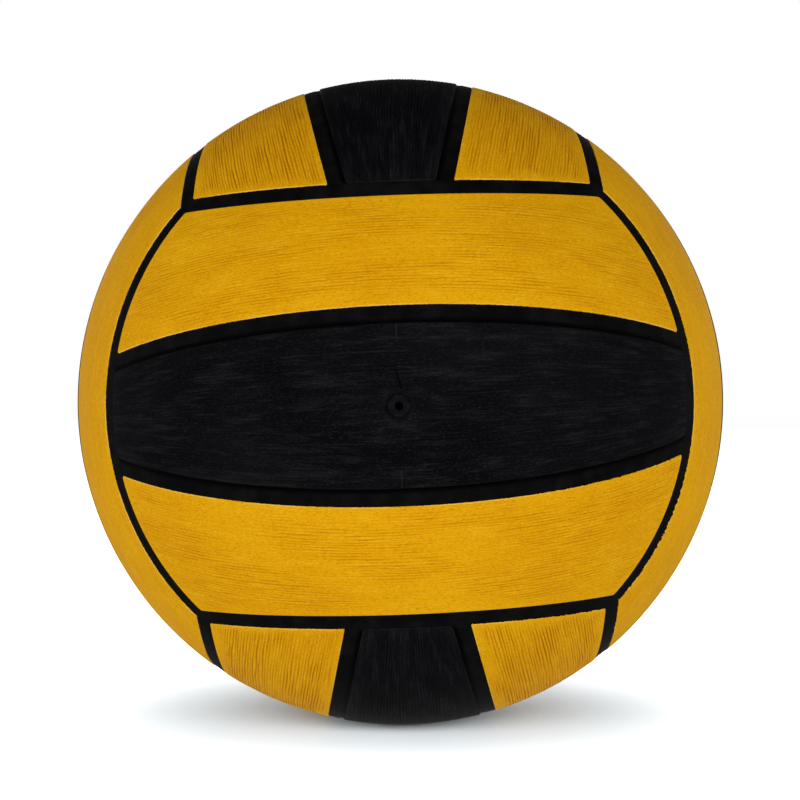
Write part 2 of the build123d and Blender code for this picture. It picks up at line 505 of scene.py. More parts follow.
@dataclass(frozen=True)
class Patch:
    """A four-sided patch of the front face: along runs from end to end and across from side to side."""

    kind: PatchKind
    sizes: BallSizes
    solver_steps: int = 40
    line_follow: float = 0.6

    def sides(self, latitude: Array) -> tuple[Array, Array]:
        """Gives the turn about X of the patch's two long sides.

        Args:
            latitude: Angle from the plane X = 0, in radians.

        Returns:
            Turn of the lower and the upper side, in radians.
        """
        sizes, across = self.sizes, np.cos(latitude)
        seam = np.arcsin(sizes.half_seam / sizes.radius / across)
        strip = np.arcsin((sizes.half_seam - sizes.bond_gap) / sizes.radius / across)
        middle = np.full_like(across, sizes.divider_angle)
        if self.kind is PatchKind.MIDDLE:
            return seam - middle, middle - seam
        if self.kind is PatchKind.DIVIDER:
            return middle - strip, middle + strip
        outer_cone = math.cos(FACE_ANGLE + sizes.half_seam / sizes.radius)
        return middle + seam, np.arcsin(np.clip(outer_cone / across, -1, 1))

    def end(self, turn: Array) -> Array:
        """Gives the latitude of the patch's end on the line with this turn about X, in radians."""
        cone = math.cos(FACE_ANGLE - self.sizes.half_seam / self.sizes.radius)
        return np.arccos(np.clip(cone / np.cos(turn), -1, 1))

    def place(self, along: tuple[Array, Array], across: tuple[Array, Array]) -> dict[str, Array]:
        """Finds points of the patch.

        Args:
            along: Share from -1 to 1 of the patch's half length, and an offset in millimetres.
            across: Share from 0 to 1 of the patch's width, and an offset in millimetres.

        Returns:
            Unit directions of the points, and their along, across and rim distances in millimetres.
        """
        return self._on_edge(along, across) if self.kind is PatchKind.EDGE else self._on_face(along, across)

    def _on_face(self, along: tuple[Array, Array], across: tuple[Array, Array]) -> dict[str, Array]:
        """Finds points of a panel or dividing strip, as place() does, by settling both angles together."""
        radius = self.sizes.radius
        latitude = np.zeros_like(along[0])
        turn = np.full_like(latitude, self.sizes.divider_angle)
        for _ in range(self.solver_steps):
            low, high = self.sides(latitude)
            wanted = low + across[0] * (high - low) + across[1] / (radius * np.cos(latitude))
            turn = (turn + wanted) / 2
            latitude = along[0] * self.end(turn) + along[1] / radius
        width = radius * np.cos(latitude)
        side_gap = np.minimum(turn - low, high - turn) * width
        end_gap = (self.end(turn) - np.abs(latitude)) * radius
        nominal = radius * float(np.mean(high - low))
        even = (turn - low) / (high - low) * nominal
        direction = np.stack(
            [np.sin(latitude), -np.cos(latitude) * np.cos(turn), np.cos(latitude) * np.sin(turn)], axis=-1
        )
        return {
            "direction": direction,
            "along": latitude * radius,
            "across": self.line_follow * even + (1 - self.line_follow) * turn * radius,
            "rim": np.maximum(np.minimum(side_gap, end_gap), 0),
        }

    def _on_edge(self, along: tuple[Array, Array], across: tuple[Array, Array]) -> dict[str, Array]:
        """Finds points of the left edge strip, as place() does, between its mitred ends."""
        radius = self.sizes.radius
        half = (self.sizes.half_seam - self.sizes.bond_gap) / radius
        slope = FACE_ANGLE - half + across[0] * 2 * half + across[1] / radius
        level = 1 / np.tan(slope) / math.sqrt(5)
        near = np.arccos(level) - math.atan(0.5)
        far = np.arccos(-level) - math.atan(2)
        mitre = np.where(slope <= FACE_ANGLE, near, far)
        turn = along[0] * mitre + along[1] / (radius * np.sin(slope))
        direction = np.stack(
            [-np.sin(slope) * np.cos(turn), -np.cos(slope), np.sin(slope) * np.sin(turn)], axis=-1
        )
        offset = (slope - FACE_ANGLE) * radius
        end_gap = (mitre - np.abs(turn)) * radius * np.sin(slope)
        return {
            "direction": direction,
            "along": turn * radius * np.sin(slope),
            "across": offset,
            "rim": np.maximum(np.minimum(half * radius - np.abs(offset), end_gap), 0),
        }


def between(start: Array, end: Array, count: int) -> Array:
    """Gives a row of share and offset for each of a number of lines, evenly between two others."""
    return np.linspace(start, end, count + 2)[1:-1]


def at_share(share: float, offsets: Array) -> Array:
    """Gives a row of share and offset for each line that is set off from one share of a patch."""
    return np.column_stack([np.full(len(offsets), share), offsets])


@dataclass
class Shell:
    """A closed piece of the cover: a patch with a rounded shoulder, an upright foot and an underside."""

    patch: Patch
    along: Array
    across: Array
    top: float
    base: float
    shoulder: float
    corner_radius: float = 0.0
    opening: float = 0.0
    opening_blend: float = 2.0
    under_step: int = 9
    under_clear: int = 3
    sharp_angle: float = 50.0

    def mesh(self, name: str, turn: Array) -> Mesh:
        """Builds the piece.

        Args:
            name: Name of the mesh.
            turn: Rotation matrix that takes the patch to its place on the ball.

        Returns:
            A closed mesh in metres that carries along, across and rim values in millimetres.
        """
        shape = (len(self.across), len(self.along))
        ua, va = np.meshgrid(self.along[:, 0], self.across[:, 0])
        uo, vo = np.meshgrid(self.along[:, 1], self.across[:, 1])
        ring = self._round_corners(ua, va, uo, vo)
        hole = self._round_opening(ua, va, uo, vo)
        points = self.patch.place((ua, uo), (va, vo))
        foot = np.zeros(shape, bool)
        foot[[0, -1], :] = True
        foot[:, [0, -1]] = True
        foot |= (hole < 0) & (hole > -1)
        ring = np.minimum(ring, np.maximum(hole, 0))
        inset = np.maximum(self.shoulder - ring, 0)
        height = self.top - self.shoulder + np.sqrt(self.shoulder**2 - inset**2)
        height[foot] = self.base
        points["rim"] = np.minimum(points["rim"], np.maximum(hole, 0))
        points["rim"][foot] = 0

        index = np.arange(shape[0] * shape[1]).reshape(shape)
        corners = [index[:-1, :-1], index[:-1, 1:], index[1:, 1:], index[1:, :-1]]
        quads = np.stack([c.ravel() for c in corners], axis=-1)
        quads = quads[(hole.ravel()[quads] >= 0).any(axis=1)]
        under, extra = self._underside(index, foot, hole)

        flat = index.ravel()[extra] if len(extra) else np.zeros(0, int)
        directions = points["direction"].reshape(-1, 3)
        place = np.vstack([directions * height.reshape(-1, 1), directions[flat] * self.base])
        values = {key: points[key].ravel() for key in ("along", "across", "rim")}
        values = {key: np.concatenate([value, value[flat]]) for key, value in values.items()}
        values["rim"][directions.shape[0] :] = 0

        used = np.zeros(len(place), bool)
        used[quads.ravel()] = True
        used[np.concatenate([np.array(face) for face in under])] = True
        renumber = np.cumsum(used) - 1
        faces = renumber[quads].tolist() + [renumber[np.array(face)].tolist() for face in under]
        mesh = bpy.data.meshes.new(name)
        mesh.from_pydata((place[used] @ turn.T * MM).tolist(), [], faces)
        mesh.polygons.foreach_set("use_smooth", [True] * len(quads) + [False] * len(under))
        for key, value in values.items():
            layer = mesh.attributes.new(key, "FLOAT", "POINT")
            layer.data.foreach_set("value", value[used].astype(np.float32))
        mesh.update()
        mesh.set_sharp_from_angle(angle=math.radians(self.sharp_angle))
        return mesh

    def _round_corners(self, ua: Array, va: Array, uo: Array, vo: Array) -> Array:
        """Rounds the patch's corners in plan.

        Args:
            ua: Share along the patch.
            va: Share across the patch.
            uo: Offset along, changed in place.
            vo: Offset across, changed in place.

        Returns:
            Distance from the rim in millimetres near the rim, and infinity further in.
        """
        sides = np.where((va == 0) | (va == 1), np.abs(vo), np.inf)
        if not self.corner_radius:
            return sides
        ends = np.where(np.abs(ua) == 1, np.abs(uo), np.inf)
        corner = np.maximum(ends, sides) < self.corner_radius
        p, q = self.corner_radius - ends[corner], self.corner_radius - sides[corner]
        pull = np.maximum(p, q) / np.hypot(p, q)
        uo[corner] = -ua[corner] * (self.corner_radius - p * pull)
        vo[corner] = (1 - 2 * va[corner]) * (self.corner_radius - q * pull)
        return np.minimum(ends, sides)

    def _round_opening(self, ua: Array, va: Array, uo: Array, vo: Array) -> Array:
        """Bends the square rings of lines round the patch's middle into circles.

        Args:
            ua: Share along the patch.
            va: Share across the patch.
            uo: Offset along, changed in place.
            vo: Offset across, changed in place.

        Returns:
            Distance outwards from the round opening in millimetres, and infinity away from it.
        """
        gap = np.full(ua.shape, np.inf)
        if not self.opening:
            return gap
        middle = (ua == 0) & (va == 0.5)
        p, q = uo[middle], vo[middle]
        ring = np.maximum(np.abs(p), np.abs(q))
        share = np.clip((ring - self.opening - self.opening_blend) / self.opening_blend, 0, 1)
        pull = share + (1 - share) * ring / np.maximum(np.hypot(p, q), EPSILON)
        uo[middle], vo[middle] = p * pull, q * pull
        gap[middle] = ring - self.opening
        return gap

    def _underside(self, index: Array, foot: Array, hole: Array) -> tuple[list[list[int]], list[int]]:
        """Lays coarse faces between the feet of the piece.

        Args:
            index: Number of each grid point.
            foot: Which grid points stand at the base.
            hole: Distance outwards from the opening.

        Returns:
            The faces, and the grid points that need a second vertex at the base for them.
        """
        rows, columns = (self._under_lines(hole, axis) for axis in (0, 1))
        extra: list[int] = []
        copies: dict[int, int] = {}

        def vertex(j: int, i: int) -> int:
            """Gives the base vertex of a grid point."""
            if foot[j, i]:
                return int(index[j, i])
            number = int(index[j, i])
            if number not in copies:
                copies[number] = index.size + len(extra)
                extra.append(number)
            return copies[number]

        def side(j0: int, i0: int, j1: int, i1: int) -> list[int]:
            """Gives the vertices from one corner up to the next, all of them along a foot."""
            count = max(abs(j1 - j0), abs(i1 - i0))
            steps = [(j0 + (j1 - j0) * k // count, i0 + (i1 - i0) * k // count) for k in range(count + 1)]
            return [vertex(*s) for s in (steps[:-1] if all(foot[s] for s in steps) else steps[:1])]

        faces = []
        for j0, j1 in zip(rows, rows[1:]):
            for i0, i1 in zip(columns, columns[1:]):
                if hole[(j0 + j1) // 2, (i0 + i1) // 2] < 0:
                    continue
                loop = ((j0, i0), (j1, i0), (j1, i1), (j0, i1), (j0, i0))
                faces.append([v for a, b in zip(loop, loop[1:]) for v in side(*a, *b)])
        return faces, extra

    def _under_lines(self, hole: Array, axis: int) -> list[int]:
        """Chooses the grid lines that the underside uses.

        Args:
            hole: Distance outwards from the opening.
            axis: 0 for rows and 1 for columns.

        Returns:
            Line numbers, with the first, the last and the opening's own two among them.
        """
        count = hole.shape[axis]
        lines = {*range(0, count, self.under_step), count - 1}
        inside = np.flatnonzero((hole < 0).any(axis=1 - axis))
        if len(inside):
            ends = {int(inside[0]), int(inside[-1])}
            lines = {k for k in lines if min(abs(k - end) for end in ends) > self.under_clear} | ends
        return sorted(lines)


class NodeModifier:
    """A Geometry Nodes tree with named inputs, made into plain meshes."""

    def __init__(self, name: str, sizes: dict[str, float]) -> None:
        """Starts the tree.

        Args:
            name: Name of the tree.
            sizes: Named inputs and their values at first.
        """
        self.tree = bpy.data.node_groups.new(name, "GeometryNodeTree")
        self.graph = Graph(self.tree)
        sockets = self.tree.interface
        sockets.new_socket("Geometry", in_out="OUTPUT", socket_type="NodeSocketGeometry")
        sockets.new_socket("Geometry", in_out="INPUT", socket_type="NodeSocketGeometry")
        self.identifiers: dict[str, str] = {}
        for key, value in sizes.items():
            socket = sockets.new_socket(key, in_out="INPUT", socket_type="NodeSocketFloat")
            socket.default_value = value
            self.identifiers[key] = socket.identifier
        socket = sockets.new_socket("Material", in_out="INPUT", socket_type="NodeSocketMaterial")
        self.identifiers["Material"] = socket.identifier
        self.group = self.tree.nodes.new("NodeGroupInput")

    def input(self, name: str) -> Signal:
        """Gives a named input of the tree."""
        return Signal(self.graph, self.group.outputs[name])

    def carried(self, name: str) -> Signal:
        """Reads a value that the mesh carries."""
        return self.graph.node("GeometryNodeInputNamedAttribute", {"data_type": "FLOAT"}, {"Name": name})

    def _noise(self, x: Signal, y: Signal, seed: float) -> Signal:
        """Gives noise from 0 to 1 at two values, with a number of its own beside the piece's seed."""
        return self.graph.noise(self.graph.vector(x, y, self.input("Seed") + seed))

    def _spots(self, size: Span, seed: float) -> Signal:
        """Gives noise from -0.5 to 0.5 in spots of one length along and width across the piece."""
        return self._noise(self.carried("along") / size[0], self.carried("across") / size[1], seed) - 0.5

    def keep(self, geometry: Signal, name: str, value: Signal) -> Signal:
        """Stores a value on the mesh.

        Args:
            geometry: Mesh to store it on.
            name: Name of the value.
            value: The value.

        Returns:
            The mesh that carries it.
        """
        settings = {"data_type": "FLOAT", "domain": "POINT"}
        inputs = {"Geometry": geometry, "Name": name, "Value": value}
        return self.graph.node("GeometryNodeStoreNamedAttribute", settings, inputs)

    def lift(self, geometry: Signal, height: Signal) -> Signal:
        """Moves the surface outwards from the ball's centre.

        Args:
            geometry: Mesh to move.
            height: Height in millimetres.

        Returns:
            The moved mesh.
        """
        place = self.graph.node("GeometryNodeInputPosition")
        out = self.graph.node("ShaderNodeVectorMath", {"operation": "NORMALIZE"}, {0: place})
        inputs = {0: out, "Scale": height * MM}
        offset = self.graph.node("ShaderNodeVectorMath", {"operation": "SCALE"}, inputs)
        return self.graph.node("GeometryNodeSetPosition", None, {"Geometry": geometry, "Offset": offset})

    def close(self, geometry: Signal) -> None:
        """Ends the tree in real geometry with its material."""
        real = self.graph.node("GeometryNodeRealizeInstances", None, {"Geometry": geometry})
        inputs = {"Geometry": real, "Material": self.input("Material")}
        dressed = self.graph.node("GeometryNodeSetMaterial", None, inputs)
        self.graph.node("NodeGroupOutput", None, {0: dressed})

    def apply(self, name: str, mesh: Mesh, sizes: dict[str, float], material: bpy.types.Material) -> Object:
        """Runs the tree on a mesh.

        Args:
            name: Name of the finished object.
            mesh: Mesh to run it on.
            sizes: Inputs that differ from their first values.
            material: Finish of the piece.

        Returns:
            A plain mesh object at the origin.
        """
        piece = bpy.data.objects.new(name, mesh)
        bpy.context.scene.collection.objects.link(piece)
        modifier = piece.modifiers.new(self.tree.name, "NODES")
        modifier.node_group = self.tree
        for key, value in {**sizes, "Material": material}.items():
            modifier[self.identifiers[key]] = value
        depsgraph = bpy.context.evaluated_depsgraph_get()
        result = bpy.data.meshes.new_from_object(
            piece.evaluated_get(depsgraph), preserve_all_data_layers=True, depsgraph=depsgraph
        )
        piece.modifiers.clear()
        piece.data = result
        result.name = name
        bpy.data.meshes.remove(mesh)
        return piece


class GripRidges(NodeModifier):
    """Grip ridges along a panel: uneven grooves that follow its length and fade towards its rim, with their
    painted shade.

    Sizes are in millimetres, as lengths along and widths across the panel where there are two.
    """

    FIRST = {
        # Tint is the strength of the painted shade in the grooves.
        **{"Pitch": 1.13, "Depth": 0.12, "Tint": 1.0, "Run": 20.0, "Least": 0.5, "Patchy": 0.0},
        **{"Wander": 0.45, "Spread": 1.3, "Fade start": 0.5, "Fade end": 6.0, "Fade rag": 8.0},
        **{"Flash": 0.0, "Crease": 0.0, "Seed": 0.0},
    }
    WANDER_SIZE: Span = (26.0, 7.0)
    SPREAD_SIZE: Span = (90.0, 4.5)
    RAG_SIZE: Span = (15.0, 9.0)
    BARE_SIZE: Span = (34.0, 13.0)
    RIPPLE_SIZE: Span = (8.0, 0.8)
    DEPTH_STEP, SWAY_STEP, SWAY_RATE = 5.17, 3.31, 1.7
    GROOVE_SHARE: Span = (0.02, 0.32)
    SMOOTH_RIM: Span = (0.7, 1.6)
    CREASE_LEAN, CREASE_SIDE, CREASE_WANDER = 0.2, 1.71, 1.2
    CREASE_WIDTH: Span = (0.05, 0.4)
    CREASE_FOOT: Span = (4.2, 4.8)
    CREASE_TOP: Span = (9.0, 13.0)
    FLASH_WIDTH: Span = (0.08, 0.42)

    def __init__(self) -> None:
        """Builds the tree."""
        super().__init__("grip_ridges", self.FIRST)
        along, across, rim = (self.carried(name) for name in ("along", "across", "rim"))
        wander = self._spots(self.WANDER_SIZE, 0)
        spread = self._noise(across / self.SPREAD_SIZE[1], along / self.SPREAD_SIZE[0], 71) - 0.5
        count = (across + spread * self.input("Spread")) / self.input("Pitch") + wander * self.input("Wander")
        line = math.floor(count)
        run, least = self.input("Run"), self.input("Least")
        depth = self._noise(line * self.DEPTH_STEP, along / run, 11).rise(0.32, 0.68)
        sway = self._noise(line * self.SWAY_STEP, along / run * self.SWAY_RATE, 23) - 0.5
        cut = 1 - abs(count - line - 0.5 - sway * 0.5).rise(*self.GROOVE_SHARE)
        rag = self._spots(self.RAG_SIZE, 41) * self.input("Fade rag")
        fade = (rim + rag).rise(self.input("Fade start"), self.input("Fade end")) * rim.rise(*self.SMOOTH_RIM)
        bare = 1 - self._spots(self.BARE_SIZE, 91).rise(-0.14, 0.06)
        groove = cut * (least + depth * (1 - least)) * fade * (1 - bare * self.input("Patchy"))
        ripple = self._spots(self.RIPPLE_SIZE, 57) * fade
        crease = self._crease()
        height = ripple * self.input("Depth") * 0.5 - groove * self.input("Depth") + self._flash(rim)
        # Painted shade for the grooves and the valve crease, carried as the groove value.
        shade = crease.math("MAXIMUM", groove * self.input("Tint"), crease.rise(0.0, 0.06))
        geometry = self.keep(self.input("Geometry"), "groove", shade)
        self.close(self.lift(geometry, height - crease))

    def _crease(self) -> Signal:
        """Gives the depth of the crease that runs up from the valve, in millimetres."""
        graph = self.graph
        place = graph.node("GeometryNodeInputPosition")
        side, height = graph.part(place, "X"), graph.part(place, "Z")
        wander = (graph.noise(place, 300, 1) - 0.5) * self.CREASE_WANDER
        away = abs(side + height * self.CREASE_LEAN - self.CREASE_SIDE + wander)
        run = height.rise(*self.CREASE_FOOT) * (1 - height.rise(*self.CREASE_TOP))
        return (1 - away.rise(*self.CREASE_WIDTH)) * run * self.input("Crease")

    def _flash(self, rim: Signal) -> Signal:
        """Raises the mould's parting line on the plane X = 0.

        Args:
            rim: Distance from the panel's rim.

        Returns:
            Height of the parting line in millimetres.
        """
        graph = self.graph
        place = graph.node("GeometryNodeInputPosition")
        bead = 1 - abs(graph.part(place, "X")).rise(*self.FLASH_WIDTH)
        broken = graph.noise(place, 120, 1).rise(0.4, 0.6)
        return bead * broken * rim.rise(0.05, 0.4) * self.input("Flash")


class LaidStrip(NodeModifier):
    """The uneven face of a seam strip that was laid by hand, with a crease along a dividing strip's side that
    carries painted shade.
    """

    SWELL_SIZE: Span = (5.0, 2.4)
    DRAG_SIZE: Span = (9.0, 0.9)
    CREASE_WIDTH: Span = (0.4, 2.4)

    def __init__(self) -> None:
        """Builds the tree."""
        super().__init__("laid_strip", {"Depth": 0.12, "Sink": 0.0, "Seed": 0.0})
        across, rim, sink = self.carried("across"), self.carried("rim"), self.input("Sink")
        swell, drag = self._spots(self.SWELL_SIZE, 0), self._spots(self.DRAG_SIZE, 17)
        uneven = (swell * 0.9 + drag * 0.6) * self.input("Depth") * rim.rise(0.0, 1.3)
        crease = (1 - across.rise(*self.CREASE_WIDTH)) * rim.rise(0.0, 0.05)
        # Painted shade in the crease along a dividing strip's side, carried as the groove value.
        shade = crease * sink.math("GREATER_THAN", sink, 0.0)
        geometry = self.keep(self.input("Geometry"), "groove", shade)
        self.close(self.lift(geometry, uneven - crease * sink))


@dataclass(frozen=True)
class Face:
    """One of the six faces: how the front face is turned to it, and the names of its sides and ends."""

    name: str
    turn: Array
    sides: tuple[str, str]
    ends: tuple[str, str]


HALF_TURN_Y = np.diag([-1.0, 1.0, -1.0])
HALF_TURN_Z = np.diag([-1.0, -1.0, 1.0])
THIRD_TURN = np.array([[0.0, 0.0, 1.0], [1.0, 0.0, 0.0], [0.0, 1.0, 0.0]])
FACES = (
    Face("front", np.eye(3), ("upper", "lower"), ("left", "right")),
    Face("back", HALF_TURN_Z, ("upper", "lower"), ("right", "left")),
    Face("bottom", THIRD_TURN, ("right", "left"), ("front", "rear")),
    Face("top", HALF_TURN_Y @ THIRD_TURN, ("left", "right"), ("front", "rear")),
    Face("left", THIRD_TURN @ THIRD_TURN, ("rear", "front"), ("lower", "upper")),
    Face("right", HALF_TURN_Z @ THIRD_TURN @ THIRD_TURN, ("front", "rear"), ("lower", "upper")),
)
PARTED_FACES = ("front", "back", "top", "bottom")


@dataclass(frozen=True)
class GripWear:
    """How deep a panel's grooves are, how dark their painted shade is, how long they run, how shallow they
    become and how patchy.
    """

    depth: float
    tint: float
    run: float
    least: float
    patchy: float

    def inputs(self) -> dict[str, float]:
        """Gives the ridge tree's inputs."""
        return {name.capitalize(): value for name, value in asdict(self).items()}


class Grip(Enum):
    """How worn the grip is on different parts of the ball, and how dark the painted shade in its grooves is:
    darkest on the top and bottom panels.
    """

    CRISP = GripWear(0.14, 1.05, 16.0, 0.5, 0.35)
    RUBBED = GripWear(0.09, 0.58, 9.0, 0.3, 0.8)
    SMOOTH = GripWear(0.03, 0.14, 8.0, 0.1, 0.8)

    @classmethod
    def of(cls, face: Face, middle: bool) -> "Grip":
        """Chooses the grip of a panel.

        Args:
            face: Face that the panel belongs to.
            middle: True for the face's middle panel.

        Returns:
            Its grip.
        """
        if face.name in ("top", "bottom"):
            return cls.CRISP
        return cls.SMOOTH if face.name in ("left", "right") and not middle else cls.RUBBED


def finish_piece(piece: Object, body: str, node: str) -> None:
    """Seats a finished piece in the frame and reports it.

    Args:
        piece: The piece.
        body: Body that it rides on.
        node: Solid that it stands for.
    """
    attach(piece, body)
    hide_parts(node)
    LOG.info("%s on %s: %d faces", piece.name, body, len(piece.data.polygons))


@dataclass
class Cover:
    """The ball's cover: eighteen ridged panels and the twenty-four strips in the channels between them."""

    sizes: BallSizes
    palette: Palette
    along_step: float = 1.3
    across_step: float = 0.2
    strip_step: float = 1.2
    shoulder_steps: int = 4
    flash_reach: float = 0.9
    flash_lines: int = 9
    flash_height: float = 0.06
    crease_depth: float = 0.1
    valve_reach: float = 4.0
    valve_lines: int = 29
    seam_shoulder: float = 0.12
    seam_sink: float = 0.2
    foot_step: float = 1e-4
    strip_lines: int = 13
    strip_rim: tuple[float, ...] = (0.0, 0.0, 0.04, 0.12, 0.4)
    face_seed: float = 10.0
    side_seed: float = 3.0
    middle_seed: float = 7.0
    edge_seed: float = 1.5

    def build(self) -> None:
        """Builds and dresses every panel and strip."""
        ridges, laid = GripRidges(), LaidStrip()
        for number, face in enumerate(FACES):
            name, turns = face.name, (face.turn, face.turn @ HALF_TURN_Y)
            seeds = [self.face_seed * number + self.side_seed * k for k in (0, 1)]
            for side, turn, seed in zip(face.sides, turns, seeds):
                self._panel(ridges, f"{name}_{side}_panel", PatchKind.OUTER, face, turn, seed)
                self._strip(laid, f"{name}_{side}_divider", PatchKind.DIVIDER, turn, seed)
            middle_seed = seeds[0] + self.middle_seed
            self._panel(ridges, f"{name}_middle_panel", PatchKind.MIDDLE, face, face.turn, middle_seed)
            for end, turn, seed in zip(face.ends, turns, seeds):
                self._strip(laid, f"{name}_{end}_edge_strip", PatchKind.EDGE, turn, seed + self.edge_seed)

    def _rim_offsets(self) -> Array:
        """Gives the distances from a panel's rim at which lines run, with the foot's first."""
        angles = np.linspace(0, math.pi / 2, self.shoulder_steps + 1)
        shoulder = self.sizes.shoulder * (1 - np.cos(angles))
        return np.concatenate([[0.0], shoulder, [0.8, self.sizes.corner_radius]])

    def _valve_offsets(self) -> Array:
        """Gives the distances from the valve's axis at which lines run."""
        opening = self.sizes.valve_opening
        inside = np.linspace(self.foot_step - opening, opening - self.foot_step, self.valve_lines)
        angles = np.linspace(0, math.pi / 2, self.shoulder_steps + 1)
        outside = opening + np.concatenate(
            [self.sizes.shoulder * (1 - np.cos(angles)), np.linspace(0.8, self.valve_reach, 10)]
        )
        return np.concatenate([-outside[::-1], inside, outside])

    def _panel(
        self, ridges: GripRidges, node: str, kind: PatchKind, face: Face, turn: Array, seed: float
    ) -> None:
        """Builds one panel.

        Args:
            ridges: The ridge tree.
            node: Solid that the panel stands for.
            kind: Outer or middle panel.
            face: Face that it belongs to.
            turn: Rotation that takes it to its place.
            seed: Seed of its ridges.
        """
        sizes, valve = self.sizes, node == "front_middle_panel"
        middle = kind is PatchKind.MIDDLE
        rim = self._rim_offsets()
        patch = Patch(kind, sizes)
        low, high = (float(side) for side in patch.sides(np.zeros(())))
        rows = round(sizes.radius * (high - low) / self.across_step)
        columns = round(sizes.radius * float(patch.end(np.array((low + high) / 2))) / self.along_step)
        flash = np.linspace(-self.flash_reach, self.flash_reach, self.flash_lines)
        core = at_share(0.0, self._valve_offsets() if valve else flash)
        left, right = at_share(-1.0, rim), at_share(1.0, -rim[::-1])
        along = [left, between(left[-1], core[0], columns), core, between(core[-1], right[0], columns), right]
        below, above = at_share(0.0, rim), at_share(1.0, -rim[::-1])
        across = [below, between(below[-1], above[0], rows), above]
        if valve:
            centre, half = at_share(0.5, self._valve_offsets()), rows * 2 // 5
            lower, upper = between(below[-1], centre[0], half), between(centre[-1], above[0], half)
            across = [below, lower, centre, upper, above]
        shell = Shell(
            patch,
            np.vstack(along),
            np.vstack(across),
            sizes.radius,
            sizes.base,
            sizes.shoulder,
            sizes.corner_radius,
            sizes.valve_opening if valve else 0.0,
            self.valve_reach / 2,
        )
        inputs = {"Seed": seed, **Grip.of(face, middle).value.inputs()}
        if face.name in PARTED_FACES:
            inputs["Flash"] = self.flash_height
        if valve:
            inputs["Crease"] = self.crease_depth
        paint = Paint.BLACK_PANEL if middle else Paint.YELLOW_PANEL
        piece = ridges.apply(f"{node}_grip", shell.mesh(node, turn), inputs, self.palette.of(paint))
        finish_piece(piece, "ball", node)

    def _strip(self, laid: LaidStrip, node: str, kind: PatchKind, turn: Array, seed: float) -> None:
        """Builds one seam strip.

        Args:
            laid: The strip tree.
            node: Solid that the strip stands for.
            kind: Dividing strip or edge strip.
            turn: Rotation that takes it to its place.
            seed: Seed of its unevenness.
        """
        sizes, patch = self.sizes, Patch(kind, self.sizes, line_follow=1.0)
        length = sizes.radius * (math.pi / 4 if kind is PatchKind.EDGE else FACE_ANGLE)
        rim = np.array(self.strip_rim)
        below, above = at_share(0.0, rim), at_share(1.0, -rim[::-1])
        ends = np.zeros(2)
        left, right = at_share(-1.0, ends), at_share(1.0, ends)
        along = np.vstack([left, between(left[-1], right[0], 2 * round(length / self.strip_step) + 1), right])
        across = np.vstack([below, between(below[-1], above[0], self.strip_lines), above])
        shell = Shell(patch, along, across, sizes.channel_floor, sizes.base, self.seam_shoulder)
        inputs = {"Seed": seed, "Sink": self.seam_sink if kind is PatchKind.DIVIDER else 0.0}
        piece = laid.apply(f"{node}_bead", shell.mesh(node, turn), inputs, self.palette.of(Paint.SEAM))
        finish_piece(piece, "ball", node)


def rounded(
    outline: list[tuple[float, float, float]], steps: int, closed: bool
) -> list[tuple[float, float]]:
    """Rounds the corners of a section.

    Args:
        outline: Two coordinates and the rounding of each corner.
        steps: Number of facets in each rounding.
        closed: True if the last corner joins the first.

    Returns:
        The section's points.
    """
    points = []
    for k, (x, y, radius) in enumerate(outline):
        if not radius or (not closed and k in (0, len(outline) - 1)):
            points.append((x, y))
            continue
        corner = Vector((x, y))
        before = (Vector(outline[k - 1][:2]) - corner).normalized()
        after = (Vector(outline[(k + 1) % len(outline)][:2]) - corner).normalized()
        half = before.angle(after) / 2
        centre = corner + (before + after).normalized() * (radius / math.sin(half))
        first = corner + before * (radius / math.tan(half)) - centre
        last = corner + after * (radius / math.tan(half)) - centre
        points += [tuple(centre + first.slerp(last, step / steps) * radius) for step in range(steps + 1)]
    return points


